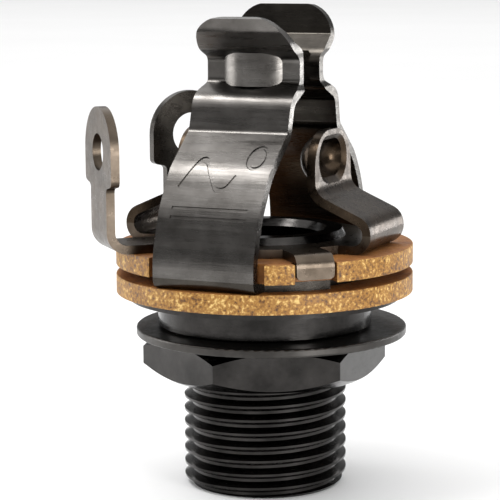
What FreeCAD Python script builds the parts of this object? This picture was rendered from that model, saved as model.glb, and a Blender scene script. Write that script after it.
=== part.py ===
import FreeCAD, Part
import math
import os

V = FreeCAD.Vector

# Quarter-inch instrument jack socket. Millimetres, +Z along the plug axis.
# z = 0 is the mouth where the plug goes in; the contact springs stand above.
# "Reach" is the distance out from the plug axis, "rise" the height above a plate.

# Thread and nut: 3/8-32 UNEF
thread_d = 9.525
pitch = 0.79375
thread_depth = 0.48
thread_end_chamfer = 0.45
nut_across_flats = 12.4
nut_height = 2.4
nut_face_r = 5.95
nut_thread_play = 0.06
thread_below_nut = 6.5

# Bore for the 6.35 mm plug
bore_r = 3.225
bore_lead = 0.4

# Loose washer between nut and collar
washer_r = 7.9
washer_t = 0.5
washer_hole_r = thread_d / 2 + 0.44
washer_shift = 0.38
washer_shift_deg = 24.0

# Sleeve above the thread
collar_r = 6.25
collar_height = 1.65
flange_r = 7.9
flange_t = 0.4
neck_r = 4.15
rim_r = 4.75
rim_height = 0.4

# Insulation
fibre_r = 8.65
fibre_t = 1.1
tube_r = 5.2
fit = 0.05

# Sheet metal
tip_t = 0.55
ground_t = 0.5
tip_disc_r = 6.6
ground_disc_r = 6.3

# Tip springs
leaf_w = 6.1
neck_w = 5.75
front_lip_w = 5.85
rear_lip_w = 6.1
leaf_reach = 8.35
leaf_root_rise = 0.65
leaf_notch_gap = 0.45
rear_spread = 0.55
channel_half_w = 1.8
channel_depth = 0.75
engraving_depth = 0.06
engraving_w = 0.16

# Sleeve (ground) arms
arm_w = 5.4
arm_reach = 7.65
arm_root_rise = 1.1
arm_face_reach = 4.3
arm_top_rise = 6.75
arm_corner_r = 2.15
dimple_r = 1.55
dimple_half_length = 0.75
dimple_rise = 5.1
dimple_wall = 0.45
dimple_mouth_r = 1.9
dimple_mouth_out = 1.35

# Locking tab of the ground plate, in a notch of the upper fibre washer
tab_deg = -46.8
tab_w = 2.2
tab_reach = 8.5
tab_drop = 0.9
tip_tab_reach = 7.5

# Solder lugs
ground_lug_deg = 225.0
ground_lug_reach = 10.0
ground_lug_hole_r = 1.05
tip_lug_deg = 143.5
tip_lug_reach = 9.6
tip_lug_hole_r = 1.3

# Heights of the stack
thread_r = thread_d / 2
z_nut = thread_below_nut
z_washer = z_nut + nut_height
z_collar = z_washer + washer_t
z_flange = z_collar + collar_height
z_lower = z_flange + flange_t
z_tip = z_lower + fibre_t
z_upper = z_tip + tip_t
z_ground = z_upper + fibre_t
z_rim = z_ground + ground_t


# ---------- drawing helpers ----------

def rounded_edges(points, radii, place, closed=False):
    """Edges of a polyline with arcs at its corners; place maps (a, b) to space."""
    count = len(points)
    edges = []
    corners = []
    for i in range(count):
        here = points[i]
        if not closed and i in (0, count - 1):
            corners.append((here, here, None))
            continue
        before = points[i - 1]
        after = points[(i + 1) % count]
        corners.append(corner_arc(before, here, after, radii[i]))
    for i in range(count):
        start, end, middle = corners[i]
        if middle is not None:
            edges.append(Part.Arc(place(*start), place(*middle), place(*end)).toShape())
        if i == count - 1 and not closed:
            break
        following = corners[(i + 1) % count][0]
        if math.dist(end, following) > 1e-6:
            edges.append(Part.makeLine(place(*end), place(*following)))
    return edges


def corner_arc(before, here, after, radius):
    """Start, end and middle of the arc that rounds one corner."""
    if radius <= 0:
        return here, here, None
    ax, ay = unit(before[0] - here[0], before[1] - here[1])
    bx, by = unit(after[0] - here[0], after[1] - here[1])
    half = math.acos(max(-1.0, min(1.0, ax * bx + ay * by))) / 2
    if half > math.pi / 2 - 1e-4:
        return here, here, None
    reach = radius / math.tan(half)
    to_middle = radius / math.sin(half) - radius
    mx, my = unit(ax + bx, ay + by)
    start = (here[0] + ax * reach, here[1] + ay * reach)
    end = (here[0] + bx * reach, here[1] + by * reach)
    return start, end, (here[0] + mx * to_middle, here[1] + my * to_middle)


def unit(x, y):
    length = math.hypot(x, y)
    return x / length, y / length


def beside(points, offset):
    """The same polyline moved sideways, to its left when offset is positive."""
    normals = []
    for (x0, y0), (x1, y1) in zip(points, points[1:]):
        dx, dy = unit(x1 - x0, y1 - y0)
        normals.append((-dy, dx))
    moved = []
    for i, (x, y) in enumerate(points):
        n1 = normals[max(i - 1, 0)]
        n2 = normals[min(i, len(normals) - 1)]
        scale = offset / (1 + n1[0] * n2[0] + n1[1] * n2[1])
        moved.append((x + (n1[0] + n2[0]) * scale, y + (n1[1] + n2[1]) * scale))
    return moved


def side_radii(points, radii, offset):
    """Corner radii of the moved polyline, so that the sheet keeps its thickness."""
    result = list(radii)
    for i in range(1, len(points) - 1):
        (x0, y0), (x1, y1), (x2, y2) = points[i - 1:i + 2]
        turn = (x1 - x0) * (y2 - y1) - (y1 - y0) * (x2 - x1)
        result[i] = radii[i] - math.copysign(abs(offset), turn * offset)
    return result


def strip(points, radii, offset, width, angle_deg):
    """Sheet bent along a (reach, z) line, standing out from the axis at an angle."""
    a = math.radians(angle_deg)
    out = V(math.cos(a), math.sin(a), 0)
    across = V(-math.sin(a), math.cos(a), 0)

    def place(reach, z):
        return out * reach + across * (-width / 2) + V(0, 0, z)

    inner = beside(points, offset)
    first = rounded_edges(points, radii, place)
    second = rounded_edges(inner, side_radii(points, radii, offset), place)
    ends = [
        Part.makeLine(place(*points[0]), place(*inner[0])),
        Part.makeLine(place(*points[-1]), place(*inner[-1])),
    ]
    wire = Part.Wire(Part.__sortEdges__(first + second + ends))
    return Part.Face(wire).extrude(across * width)


def outline_block(points, radii, angle_deg, near, far):
    """Closed (across, z) outline, extruded along the reach from near to far."""
    a = math.radians(angle_deg)
    out = V(math.cos(a), math.sin(a), 0)
    across = V(-math.sin(a), math.cos(a), 0)

    def place(s, z):
        return out * near + across * s + V(0, 0, z)

    edges = rounded_edges(points, radii, place, closed=True)
    return Part.Face(Part.Wire(Part.__sortEdges__(edges))).extrude(out * (far - near))


def mirrored_outline(half):
    """Close a right-hand half outline of (across, z, radius) into points and radii."""
    left = [(-s, z, r) for s, z, r in reversed(half)]
    full = half + left
    return [(s, z) for s, z, _ in full], [r for _, _, r in full]


def radial_box(angle_deg, near, far, width, z0, z1):
    """Box of one width that stands out from the axis at an angle."""
    block = Part.makeBox(far - near, width, z1 - z0, V(near, -width / 2, z0))
    block.rotate(V(0, 0, 0), V(0, 0, 1), angle_deg)
    return block


def ring(outer, inner, z0, z1):
    return cylinder(outer, z0, z1).cut(cylinder(inner, z0 - 1, z1 + 1))


def cylinder(radius, z0, z1, x=0.0, y=0.0):
    return Part.makeCylinder(radius, z1 - z0, V(x, y, z0))


def cone(r0, r1, z0, z1):
    return Part.makeCone(r0, r1, z1 - z0, V(0, 0, z0))


def turned(points):
    """Solid of revolution about Z from (r, z) points."""
    wire = Part.makePolygon([V(r, 0, z) for r, z in points + points[:1]])
    return Part.Face(wire).revolve(V(0, 0, 0), V(0, 0, 1), 360)


def thread_ridge(root_r, crest_r, z0, turns):
    """Helical 60 degree ridge, right-handed."""
    crest = pitch / 8
    base = crest + 2 * (crest_r - root_r) * math.tan(math.radians(30))
    sink = 0.05
    profile = Part.makePolygon([
        V(root_r - sink, 0, z0 - base / 2),
        V(crest_r, 0, z0 - crest / 2),
        V(crest_r, 0, z0 + crest / 2),
        V(root_r - sink, 0, z0 + base / 2),
        V(root_r - sink, 0, z0 - base / 2),
    ])
    helix = Part.makeHelix(pitch, turns * pitch, root_r)
    helix.translate(V(0, 0, z0))
    return Part.Wire(helix).makePipeShell([profile], True, True)


# ---------- turned parts ----------

def make_sleeve():
    root_r = thread_r - thread_depth
    top = z_rim + rim_height
    cuts = [
        cylinder(bore_r, -1, top + 1),
        cone(bore_r + bore_lead, bore_r, 0, bore_lead),
        cone(bore_r, bore_r + bore_lead, top - bore_lead, top),
    ]
    ridge = thread_ridge(root_r, thread_r + 0.03, -pitch, round(z_washer / pitch) + 0.5)
    blank = cylinder(root_r, -0.5, z_collar + 0.1).fuse(Part.Solid(ridge))
    envelope = turned([
        (0, 0),
        (thread_r - thread_end_chamfer, 0),
        (thread_r, thread_end_chamfer),
        (thread_r, z_collar),
        (0, z_collar),
    ])
    head = turned([
        (bore_r - 0.5, z_collar),
        (collar_r - 0.15, z_collar),
        (collar_r, z_collar + 0.15),
        (collar_r, z_flange),
        (flange_r, z_flange),
        (flange_r, z_lower),
        (neck_r, z_lower),
        (neck_r, z_rim),
        (rim_r, z_rim),
        (rim_r - 0.2, top),
        (bore_r - 0.5, top),
    ])
    return blank.common(envelope.cut(cuts)).fuse(head.cut(cuts))


def make_nut():
    corner_r = nut_across_flats / 2 / math.cos(math.radians(30))
    corners = []
    for i in range(7):
        a = math.radians(60 * i - 90)
        corners.append(V(corner_r * math.cos(a), corner_r * math.sin(a), z_nut))
    prism = Part.Face(Part.makePolygon(corners)).extrude(V(0, 0, nut_height))
    drop = (corner_r + 0.1 - nut_face_r) * math.tan(math.radians(30))
    chamfered = turned([
        (0, z_nut),
        (nut_face_r, z_nut),
        (corner_r + 0.1, z_nut + drop),
        (corner_r + 0.1, z_washer - drop),
        (nut_face_r, z_washer),
        (0, z_washer),
    ])
    root_r = thread_r - thread_depth + nut_thread_play
    crest_r = thread_r + nut_thread_play
    first_turn = int(z_nut / pitch) - 2
    ridge = thread_ridge(root_r, crest_r, first_turn * pitch, round(nut_height / pitch) + 2.5)
    tap = cylinder(root_r, z_nut - 1, z_washer + 1).fuse(Part.Solid(ridge))
    mouth = crest_r + 0.1
    cuts = [
        tap,
        cone(mouth, root_r, z_nut, z_nut + mouth - root_r),
        cone(root_r, mouth, z_washer - mouth + root_r, z_washer),
    ]
    return prism.common(chamfered).cut(cuts)


def make_panel_washer():
    a = math.radians(washer_shift_deg)
    x = washer_shift * math.cos(a)
    y = washer_shift * math.sin(a)
    disc = cylinder(washer_r, z_washer, z_collar, x, y)
    rim = [e for e in disc.Edges if e.Closed]
    disc = disc.makeFillet(0.12, rim)
    return disc.cut(cylinder(washer_hole_r, z_washer - 1, z_collar + 1, x, y))


# ---------- insulation ----------

def make_upper_fibre_washer():
    washer = ring(fibre_r, tube_r + fit, z_upper, z_ground)
    notch_w = leaf_w + 2 * leaf_notch_gap
    notch_reach = leaf_reach - tip_t - 0.3
    tab_notch_reach = tab_reach - ground_t - 0.3
    notches = [
        radial_box(-90, notch_reach, fibre_r + 1, notch_w, z_upper - 1, z_ground + 1),
        radial_box(90, notch_reach, fibre_r + 1, notch_w, z_upper - 1, z_ground + 1),
        radial_box(tab_deg, tab_notch_reach, fibre_r + 1, tab_w + 0.24, z_upper - 1, z_ground + 1),
    ]
    return washer.cut(notches)


# ---------- tip contact ----------

def spring_line(upper, spread):
    """Outer face of a tip spring from its root to its lip, as points and radii."""
    line = [
        (leaf_reach, leaf_root_rise, 0.0),
        (leaf_reach, 1.8, 3.5),
        (7.60 + spread, 4.2, 6.0),
        (6.15 + spread, 6.45, 4.0),
    ] + upper
    points = [(reach, z_tip + rise) for reach, rise, _ in line]
    return points, [radius for _, _, radius in line]


def make_tip_spring(angle_deg, upper, spread, lip_w):
    points, radii = spring_line(upper, spread)
    leaf = strip(points, radii, tip_t, leaf_w, angle_deg)
    top = points[-1][1]
    neck_low = z_tip + 10.9
    neck_high = z_tip + 12.5
    half = [
        (leaf_w / 2, z_tip, 0),
        (leaf_w / 2, neck_low - 0.2, 0.5),
        (neck_w / 2, neck_low, 0.5),
        (neck_w / 2, neck_high, 0.5),
        (lip_w / 2, neck_high + 0.25, 0.4),
        (lip_w / 2, top + 0.1, 1.95),
    ]
    outline, corner_radii = mirrored_outline(half)
    leaf = leaf.common(outline_block(outline, corner_radii, angle_deg, -1, 12))
    return press_channel(leaf, angle_deg, upper[2][0])


def engrave(leaf, upper):
    """Plain decorative marks on the front spring: a wave, a ring and two lines."""
    points, radii = spring_line(upper, 0.0)
    layer = strip(points, radii, engraving_depth, leaf_w, -90)
    wave = [(-2.2, z_tip + 5.55), (-1.2, z_tip + 7.35), (0.3, z_tip + 5.05), (1.1, z_tip + 6.25)]
    outline = beside(wave, engraving_w / 2) + beside(wave, -engraving_w / 2)[::-1]
    marks = [outline_block(outline, [0, 0.4, 0.5, 0, 0, 0.5, 0.4, 0], -90, 3, 12)]
    centre = V(1.95, -12, z_tip + 7.15)
    disc = Part.makeCylinder(0.6, 9, centre, V(0, 1, 0))
    marks.append(disc.cut(Part.makeCylinder(0.6 - engraving_w, 9, centre, V(0, 1, 0))))
    for z in (z_tip + 3.9, z_tip + 4.4):
        marks.append(radial_box(-90, 3, 12, 4.6, z, z + engraving_w))
    return leaf.cut([layer.common(mark) for mark in marks])


def press_channel(leaf, angle_deg, neck_reach):
    """Half-round channel in the neck, hollow towards the plug tip."""
    a = math.radians(angle_deg)
    radius = (channel_half_w ** 2 + channel_depth ** 2) / (2 * channel_depth)
    centre = neck_reach + channel_depth - radius
    x = centre * math.cos(a)
    y = centre * math.sin(a)
    bulge = cylinder(radius, z_tip + 10.85, z_tip + 12.75, x, y)
    bulge = bulge.common(radial_box(angle_deg, neck_reach - tip_t, 5, neck_w, 0, 40))
    hollow = cylinder(radius - tip_t, z_tip + 11.05, z_tip + 12.5, x, y)
    hollow = hollow.common(radial_box(angle_deg, neck_reach - tip_t - 1, 5, neck_w, 0, 40))
    return leaf.fuse(bulge).cut(hollow).removeSplitter()


def lug(angle_deg, z_plate, thickness, reach, bend_r, top_z, head_r, stem_w, hole_r):
    """Solder lug: flat foot from the plate, bent up, with a round pierced head."""
    line = [(5.5, z_plate), (reach, z_plate), (reach, top_z)]
    shape = strip(line, [0, bend_r, 0], thickness, 2 * head_r, angle_deg)
    hole_z = top_z - head_r
    half = [
        (stem_w / 2, z_plate - 0.5, 0),
        (stem_w / 2, hole_z - 1.95, 0.3),
        (head_r, hole_z - 1.75, 0.35),
        (head_r, top_z, head_r - 0.02),
    ]
    outline, radii = mirrored_outline(half)
    shape = shape.common(outline_block(outline, radii, angle_deg, 5, 12))
    hole = Part.makeCylinder(hole_r, 4, V(reach - 2, 0, hole_z), V(1, 0, 0))
    hole.rotate(V(0, 0, 0), V(0, 0, 1), angle_deg)
    return shape.cut(hole)


def make_tip_plate():
    disc = ring(tip_disc_r, tube_r + fit, z_tip, z_upper)
    pieces = [lug(tip_lug_deg, z_tip, tip_t, tip_lug_reach, 0.9, z_tip + 9.95, 2.65, 3.5,
                  tip_lug_hole_r)]
    foot = [(5.6, z_tip), (leaf_reach, z_tip), (leaf_reach, z_tip + leaf_root_rise)]
    radii = [0, leaf_root_rise - 0.02, 0]
    for angle in (-90, 90):
        pieces.append(strip(foot, radii, tip_t, leaf_w, angle))
    sector = ring(tip_tab_reach, tube_r + fit, z_tip, z_upper)
    pieces.append(sector.common(radial_box(tab_deg - 5, 5, 9, 3.8, z_tip, z_upper)))
    return disc.fuse(pieces).removeSplitter()


# ---------- ground contact ----------

def make_ground_plate():
    disc = ring(ground_disc_r, neck_r + fit, z_ground, z_rim)
    pieces = [lug(ground_lug_deg, z_ground, ground_t, ground_lug_reach, 1.25, z_ground + 8.25,
                  2.55, 3.05, ground_lug_hole_r)]
    foot = [(4.7, z_ground), (arm_reach, z_ground), (arm_reach, z_ground + arm_root_rise)]
    for angle in (0, 180):
        pieces.append(strip(foot, [0, arm_root_rise - 0.02, 0], ground_t, arm_w, angle))
    line = [(5, z_rim), (tab_reach, z_rim), (tab_reach, z_ground - tab_drop)]
    tab = strip(line, [0, 0.75, 0], -ground_t, tab_w, tab_deg)
    half = [
        (tab_w / 2, z_rim + 1, 0),
        (tab_w / 2, z_ground - tab_drop, 0.3),
    ]
    outline, radii = mirrored_outline(half)
    pieces.append(tab.common(outline_block(outline, radii, tab_deg, 4, 10)))
    return disc.fuse(pieces).removeSplitter()


def make_ground_arm(angle_deg):
    line = [
        (arm_reach, z_ground + arm_root_rise, 0),
        (arm_reach, z_ground + 1.85, 1.1),
        (arm_face_reach + 0.05, z_ground + 3.3, 1.0),
        (arm_face_reach, z_ground + arm_top_rise, 0),
    ]
    points = [(reach, z) for reach, z, _ in line]
    arm = strip(points, [r for _, _, r in line], ground_t, arm_w, angle_deg)
    half = [
        (arm_w / 2, z_ground - 0.5, 0),
        (arm_w / 2, z_ground + arm_top_rise, arm_corner_r),
    ]
    outline, radii = mirrored_outline(half)
    arm = arm.common(outline_block(outline, radii, angle_deg, 3, 9))
    bulge = dimple(dimple_r, arm_face_reach, angle_deg)
    bulge = bulge.common(radial_box(angle_deg, 2, arm_face_reach, 6, z_ground, z_ground + 9))
    hollow = dimple(dimple_r - dimple_wall, arm_face_reach, angle_deg)
    mouth = dimple(dimple_mouth_r, arm_face_reach + dimple_mouth_out, angle_deg)
    return arm.fuse(bulge).cut([hollow, mouth]).removeSplitter()


def dimple(radius, reach, angle_deg):
    """Round-ended bar across an arm, the form of its pressed contact."""
    z = z_ground + dimple_rise
    shape = Part.makeCylinder(radius, 2 * dimple_half_length,
                              V(reach, -dimple_half_length, z), V(0, 1, 0))
    for y in (-dimple_half_length, dimple_half_length):
        shape = shape.fuse(Part.makeSphere(radius, V(reach, y, z)))
    shape.rotate(V(0, 0, 0), V(0, 0, 1), angle_deg)
    return shape


# Upper part of the tip springs as (reach, rise, corner radius) above the tip
# plate: crease, shoulder, neck, then the lip. The rear spring stands more upright.
front_upper = [
    (3.62, 8.4, 0.35),
    (3.05, 10.3, 1.4),
    (1.42, 11.07, 0.35),
    (1.42, 12.45, 0.45),
    (2.45, 12.95, 1.5),
    (3.55, 14.05, 0.8),
    (3.72, 14.72, 0),
]
rear_upper = [
    (4.28, 8.4, 0.35),
    (3.93, 10.3, 1.0),
    (2.02, 11.1, 0.6),
    (2.02, 12.3, 0.6),
    (3.37, 13.4, 0.7),
    (3.57, 15.33, 0),
]

nodes = {
    "sleeve": make_sleeve(),
    "hex_nut": make_nut(),
    "panel_washer": make_panel_washer(),
    "lower_fibre_washer": ring(fibre_r, tube_r + fit, z_lower, z_tip),
    "upper_fibre_washer": make_upper_fibre_washer(),
    "insulating_tube": ring(tube_r, neck_r + fit, z_lower, z_ground),
    "tip_plate": make_tip_plate(),
    "tip_spring_front": engrave(make_tip_spring(-90, front_upper, 0.0, front_lip_w), front_upper),
    "tip_spring_rear": make_tip_spring(90, rear_upper, rear_spread, rear_lip_w),
    "ground_plate": make_ground_plate(),
    "ground_arm_right": make_ground_arm(0),
    "ground_arm_left": make_ground_arm(180),
}

os.makedirs("parts", exist_ok=True)
for name, shape in nodes.items():
    shape.exportStep("parts/" + name + ".step")
    box = shape.BoundBox
    print(name, len(shape.Solids), shape.isValid(), round(shape.Volume, 2),
          [round(v, 2) for v in (box.XMin, box.YMin, box.ZMin, box.XMax, box.YMax, box.ZMax)])
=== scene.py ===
import bpy
import math
from mathutils import Matrix, Vector

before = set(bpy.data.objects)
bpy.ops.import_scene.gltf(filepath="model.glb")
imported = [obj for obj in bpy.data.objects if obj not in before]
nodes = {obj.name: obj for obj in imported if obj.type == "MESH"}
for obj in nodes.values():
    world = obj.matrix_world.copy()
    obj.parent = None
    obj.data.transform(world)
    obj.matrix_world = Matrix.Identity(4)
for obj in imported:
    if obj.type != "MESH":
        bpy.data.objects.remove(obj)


def write_size():
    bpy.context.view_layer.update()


write_size()

# Lengths are in metres.
RIM_START = 0.00855         # radius where a fibre washer's face turns into its cut rim
RIM_FULL = 0.00863
EDGE_WIDTH = 0.00004        # rounding of the fibre and tube edges
WELD_DISTANCE = 0.000001
METAL_GRAIN_DEPTH = 0.00002
FIBRE_GRAIN_DEPTH = 0.00006
TUBE_GRAIN_DEPTH = 0.00003


# ---------- material helpers ----------

class Tree:
    """Short calls for building one material's nodes."""

    def __init__(self, name):
        self.material = bpy.data.materials.new(name)
        self.material.use_nodes = True
        self.nodes = self.material.node_tree.nodes
        self.links = self.material.node_tree.links
        self.shader = self.nodes["Principled BSDF"]
        coord = self.nodes.new("ShaderNodeTexCoord")
        self.place = coord.outputs["Object"]

    def mapped(self, scale):
        node = self.nodes.new("ShaderNodeMapping")
        node.inputs["Scale"].default_value = scale
        self.links.new(self.place, node.inputs["Vector"])
        return node.outputs["Vector"]

    def noise(self, scale, detail=6.0, rough=0.55, stretch=(1, 1, 1)):
        node = self.nodes.new("ShaderNodeTexNoise")
        node.inputs["Scale"].default_value = scale
        node.inputs["Detail"].default_value = detail
        node.inputs["Roughness"].default_value = rough
        self.links.new(self.mapped(stretch), node.inputs["Vector"])
        return node.outputs["Fac"]

    def ramp(self, value, stops):
        node = self.nodes.new("ShaderNodeValToRGB")
        ramp = node.color_ramp
        while len(ramp.elements) < len(stops):
            ramp.elements.new(0.5)
        for element, (position, colour) in zip(ramp.elements, stops):
            element.position = position
            element.color = colour
        self.links.new(value, node.inputs["Fac"])
        return node.outputs["Color"]

    def remap(self, value, low, high, to_low, to_high):
        node = self.nodes.new("ShaderNodeMapRange")
        for key, number in zip(("From Min", "From Max", "To Min", "To Max"),
                               (low, high, to_low, to_high)):
            node.inputs[key].default_value = number
        self.links.new(value, node.inputs["Value"])
        return node.outputs["Result"]

    def combine(self, kind, a, b):
        node = self.nodes.new("ShaderNodeMath")
        node.operation = kind
        for socket, value in zip(node.inputs, (a, b)):
            if isinstance(value, (int, float)):
                socket.default_value = value
            else:
                self.links.new(value, socket)
        return node.outputs["Value"]

    def bump(self, height, strength, distance):
        node = self.nodes.new("ShaderNodeBump")
        node.inputs["Strength"].default_value = strength
        node.inputs["Distance"].default_value = distance
        self.links.new(height, node.inputs["Height"])
        self.links.new(node.outputs["Normal"], self.shader.inputs["Normal"])

    def set(self, name, value):
        socket = self.shader.inputs[name]
        if isinstance(value, (int, float)):
            socket.default_value = value
        else:
            self.links.new(value, socket)


def rgb(r, g, b):
    return (r, g, b, 1.0)


def plated(name, dark, light, rough, grain, stretch, strength):
    """Dark plating: cloudy tone, fine grain in the roughness and the surface."""
    t = Tree(name)
    tone = t.noise(450, 5, 0.6)
    t.set("Base Color", t.ramp(tone, [(0.35, dark), (0.7, light)]))
    t.set("Metallic", 1.0)
    fine = t.noise(grain, 4, 0.7, stretch)
    t.set("Roughness", t.remap(fine, 0.3, 0.7, *rough))
    t.bump(fine, strength, METAL_GRAIN_DEPTH)
    return t.material


EVEN = (1, 1, 1)
BRUSHED = (0.12, 1, 1.6)    # drawn out across the spring
TURNED = (1, 1, 4)          # rings round the axis

turned = plated("turned_black_nickel",
                dark=rgb(0.022, 0.021, 0.020), light=rgb(0.050, 0.047, 0.045),
                rough=(0.12, 0.28), grain=1400, stretch=TURNED, strength=0.25)
washer_mat = plated("washer_dark_nickel",
                    dark=rgb(0.05, 0.047, 0.044), light=rgb(0.085, 0.08, 0.075),
                    rough=(0.30, 0.46), grain=2400, stretch=EVEN, strength=0.35)
# The tip springs share one plating in two tones. The front spring's lighter base is painted
# light for its lit face. The rear spring's darker base is painted shade, and the tip plate
# between the washers takes the same painted shade.
painted_light_spring_mat = plated("spring_brushed_nickel_painted_light",
                   dark=rgb(0.085, 0.079, 0.073), light=rgb(0.165, 0.156, 0.147),
                   rough=(0.20, 0.38), grain=1500, stretch=BRUSHED, strength=0.5)
painted_shade_nickel_mat = plated("brushed_nickel_painted_shade",
                  dark=rgb(0.036, 0.032, 0.028), light=rgb(0.080, 0.072, 0.062),
                  rough=(0.20, 0.36), grain=1500, stretch=BRUSHED, strength=0.4)
ground_mat = plated("ground_warm_nickel",
                    dark=rgb(0.055, 0.043, 0.032), light=rgb(0.125, 0.10, 0.078),
                    rough=(0.24, 0.40), grain=1900, stretch=EVEN, strength=0.4)
# The arms carry the ground plate's plating with a darker base: painted shade.
arm_painted_shade_mat = plated("arm_nickel_painted_shade",
                 dark=rgb(0.030, 0.021, 0.014), light=rgb(0.070, 0.050, 0.034),
                 rough=(0.20, 0.38), grain=1900, stretch=EVEN, strength=0.5)


def fibre_material():
    """Pressed fibre: the cut rim is golden and speckled; the faces are smoother and painted
    darker, a painted shade of faces lying between the washers and parts.
    """
    t = Tree("pressed_fibre")
    speck = t.noise(5200, 2, 0.6)
    cloud = t.noise(900, 4, 0.6)
    mixed = t.combine("ADD", t.combine("MULTIPLY", speck, 0.72),
                      t.combine("MULTIPLY", cloud, 0.28))
    rim = t.ramp(mixed, [(0.36, rgb(0.085, 0.032, 0.006)), (0.45, rgb(0.26, 0.115, 0.018)),
                         (0.55, rgb(0.38, 0.19, 0.038)), (0.66, rgb(0.74, 0.50, 0.18))])
    # The faces' darker brown is painted shade; the rim keeps the fibre's own golden speckle.
    face = t.ramp(cloud, [(0.35, rgb(0.19, 0.065, 0.012)), (0.65, rgb(0.33, 0.13, 0.025))])
    from_axis = t.nodes.new("ShaderNodeVectorMath")
    from_axis.operation = "LENGTH"
    t.links.new(t.mapped((1, 1, 0)), from_axis.inputs[0])
    on_rim = t.remap(from_axis.outputs["Value"], RIM_START, RIM_FULL, 0.0, 1.0)
    blend = t.nodes.new("ShaderNodeMix")
    blend.data_type = "RGBA"
    t.links.new(on_rim, blend.inputs["Factor"])
    t.links.new(face, blend.inputs["A"])
    t.links.new(rim, blend.inputs["B"])
    t.set("Base Color", blend.outputs["Result"])
    t.set("Roughness", t.remap(speck, 0.3, 0.7, 0.45, 0.75))
    t.bump(mixed, 0.7, FIBRE_GRAIN_DEPTH)
    return t.material


def tube_material():
    t = Tree("insulating_tube")
    tone = t.noise(600, 4)
    t.set("Base Color", t.ramp(tone, [(0.4, rgb(0.22, 0.09, 0.04)),
                                      (0.6, rgb(0.36, 0.17, 0.08))]))
    t.set("Roughness", t.remap(tone, 0.3, 0.7, 0.4, 0.6))
    t.bump(tone, 0.2, TUBE_GRAIN_DEPTH)
    return t.material


fibre = fibre_material()
tube = tube_material()

finishes = {
    "sleeve": turned,
    "hex_nut": turned,
    "panel_washer": washer_mat,
    "lower_fibre_washer": fibre,
    "upper_fibre_washer": fibre,
    "insulating_tube": tube,
    "tip_plate": painted_shade_nickel_mat,
    "tip_spring_front": painted_light_spring_mat,
    "tip_spring_rear": painted_shade_nickel_mat,
    "ground_plate": ground_mat,
    "ground_arm_right": arm_painted_shade_mat,
    "ground_arm_left": arm_painted_shade_mat,
}
for name, material in finishes.items():
    piece = nodes[name]
    piece.data.materials.clear()
    piece.data.materials.append(material)


def soften(name, width):
    """Narrow rounding of a piece's sharp edges, which catches the light."""
    piece = nodes[name]
    weld = piece.modifiers.new("weld", "WELD")
    weld.merge_threshold = WELD_DISTANCE
    bevel = piece.modifiers.new("bevel", "BEVEL")
    bevel.width = width
    bevel.segments = 2
    bevel.limit_method = "ANGLE"
    bevel.angle_limit = math.radians(40)
    bevel.use_clamp_overlap = True      # stops a bevel before it runs past its neighbours
    normal = piece.modifiers.new("normals", "WEIGHTED_NORMAL")
    normal.keep_sharp = True
    normal.weight = 80


# On the metal pieces the clamp leaves next to no bevel, so they have none.
for name in ("lower_fibre_washer", "upper_fibre_washer", "insulating_tube"):
    soften(name, EDGE_WIDTH)


# ---------- stage ----------

def stage_material():
    t = Tree("pale_floor")
    tone = t.noise(6, 3)
    t.set("Base Color", t.ramp(tone, [(0.3, rgb(0.86, 0.86, 0.86)), (0.7, rgb(0.9, 0.9, 0.9))]))
    t.set("Roughness", 0.6)
    return t.material


bpy.ops.mesh.primitive_plane_add(size=3, location=(0, 0, 0))
floor = bpy.context.object
floor.name = "floor"
floor.data.materials.append(stage_material())


def area_light(name, location, target, size, power, size_y=None):
    data = bpy.data.lights.new(name, "AREA")
    data.energy = power
    data.size = size
    if size_y is not None:
        data.shape = "RECTANGLE"
        data.size_y = size_y
    lamp = bpy.data.objects.new(name, data)
    bpy.context.scene.collection.objects.link(lamp)
    lamp.location = location
    direction = Vector(target) - Vector(location)
    lamp.rotation_euler = direction.to_track_quat("-Z", "Y").to_euler()


centre = (0, 0, 0.014)              # half-way up the part
view_turn = math.radians(24)        # how far the camera stands round from the front spring


def around(side, front, up):
    """A place given by the viewer's right, towards the camera, and up."""
    x = side * math.cos(view_turn) + front * math.sin(view_turn)
    y = side * math.sin(view_turn) - front * math.cos(view_turn)
    return (x, y, up)


area_light("overhead", around(0.0, -0.4, 0.85), around(0.0, -0.4, 0.0), size=2.4, power=24.0)
area_light("right_strip", around(0.13, 0.16, 0.02), centre, size=0.07, power=0.36, size_y=0.14)
area_light("back_right", around(0.15, -0.13, 0.01), centre, size=0.03, power=0.07, size_y=0.08)
area_light("left_card", around(-0.18, -0.05, 0.05), centre, size=0.10, power=0.15, size_y=0.10)
area_light("shoulder", around(-0.09, 0.016, 0.20), centre, size=0.10, power=0.14, size_y=0.03)

world = bpy.data.worlds.new("studio")
bpy.context.scene.world = world
world.use_nodes = True
background = world.node_tree.nodes["Background"]
background.inputs["Color"].default_value = (1, 1, 1, 1)
background.inputs["Strength"].default_value = 0.25
bpy.context.scene.view_settings.view_transform = "Standard"

# ---------- camera ----------

distance = 0.112817     # from the part's axis, along the floor
height = 0.031162
pitch_down = 0.151      # radians, as the next two
yaw = -0.007
roll = -0.006

forward = Vector((math.sin(yaw), math.cos(yaw), 0))
right = Vector((math.cos(yaw), -math.sin(yaw), 0))
up = Vector((0, 0, 1))
look = forward * math.cos(pitch_down) - up * math.sin(pitch_down)
top = up * math.cos(pitch_down) + forward * math.sin(pitch_down)
side = right * math.cos(roll) + top * math.sin(roll)
top = top * math.cos(roll) - right * math.sin(roll)
turn = Matrix.Rotation(view_turn, 3, "Z")
basis = Matrix((turn @ side, turn @ top, turn @ -look)).transposed().to_4x4()
camera_data = bpy.data.cameras.new("camera")
camera_data.sensor_width = 36
camera_data.lens = 140.7
camera_data.shift_x = -0.0017       # the part stands a little off the picture's middle
camera_data.shift_y = -0.0091
camera_data.clip_start = 0.005
camera = bpy.data.objects.new("camera", camera_data)
bpy.context.scene.collection.objects.link(camera)
camera.matrix_world = Matrix.Translation(turn @ Vector((0, -distance, height))) @ basis
bpy.context.scene.camera = camera

write_size()
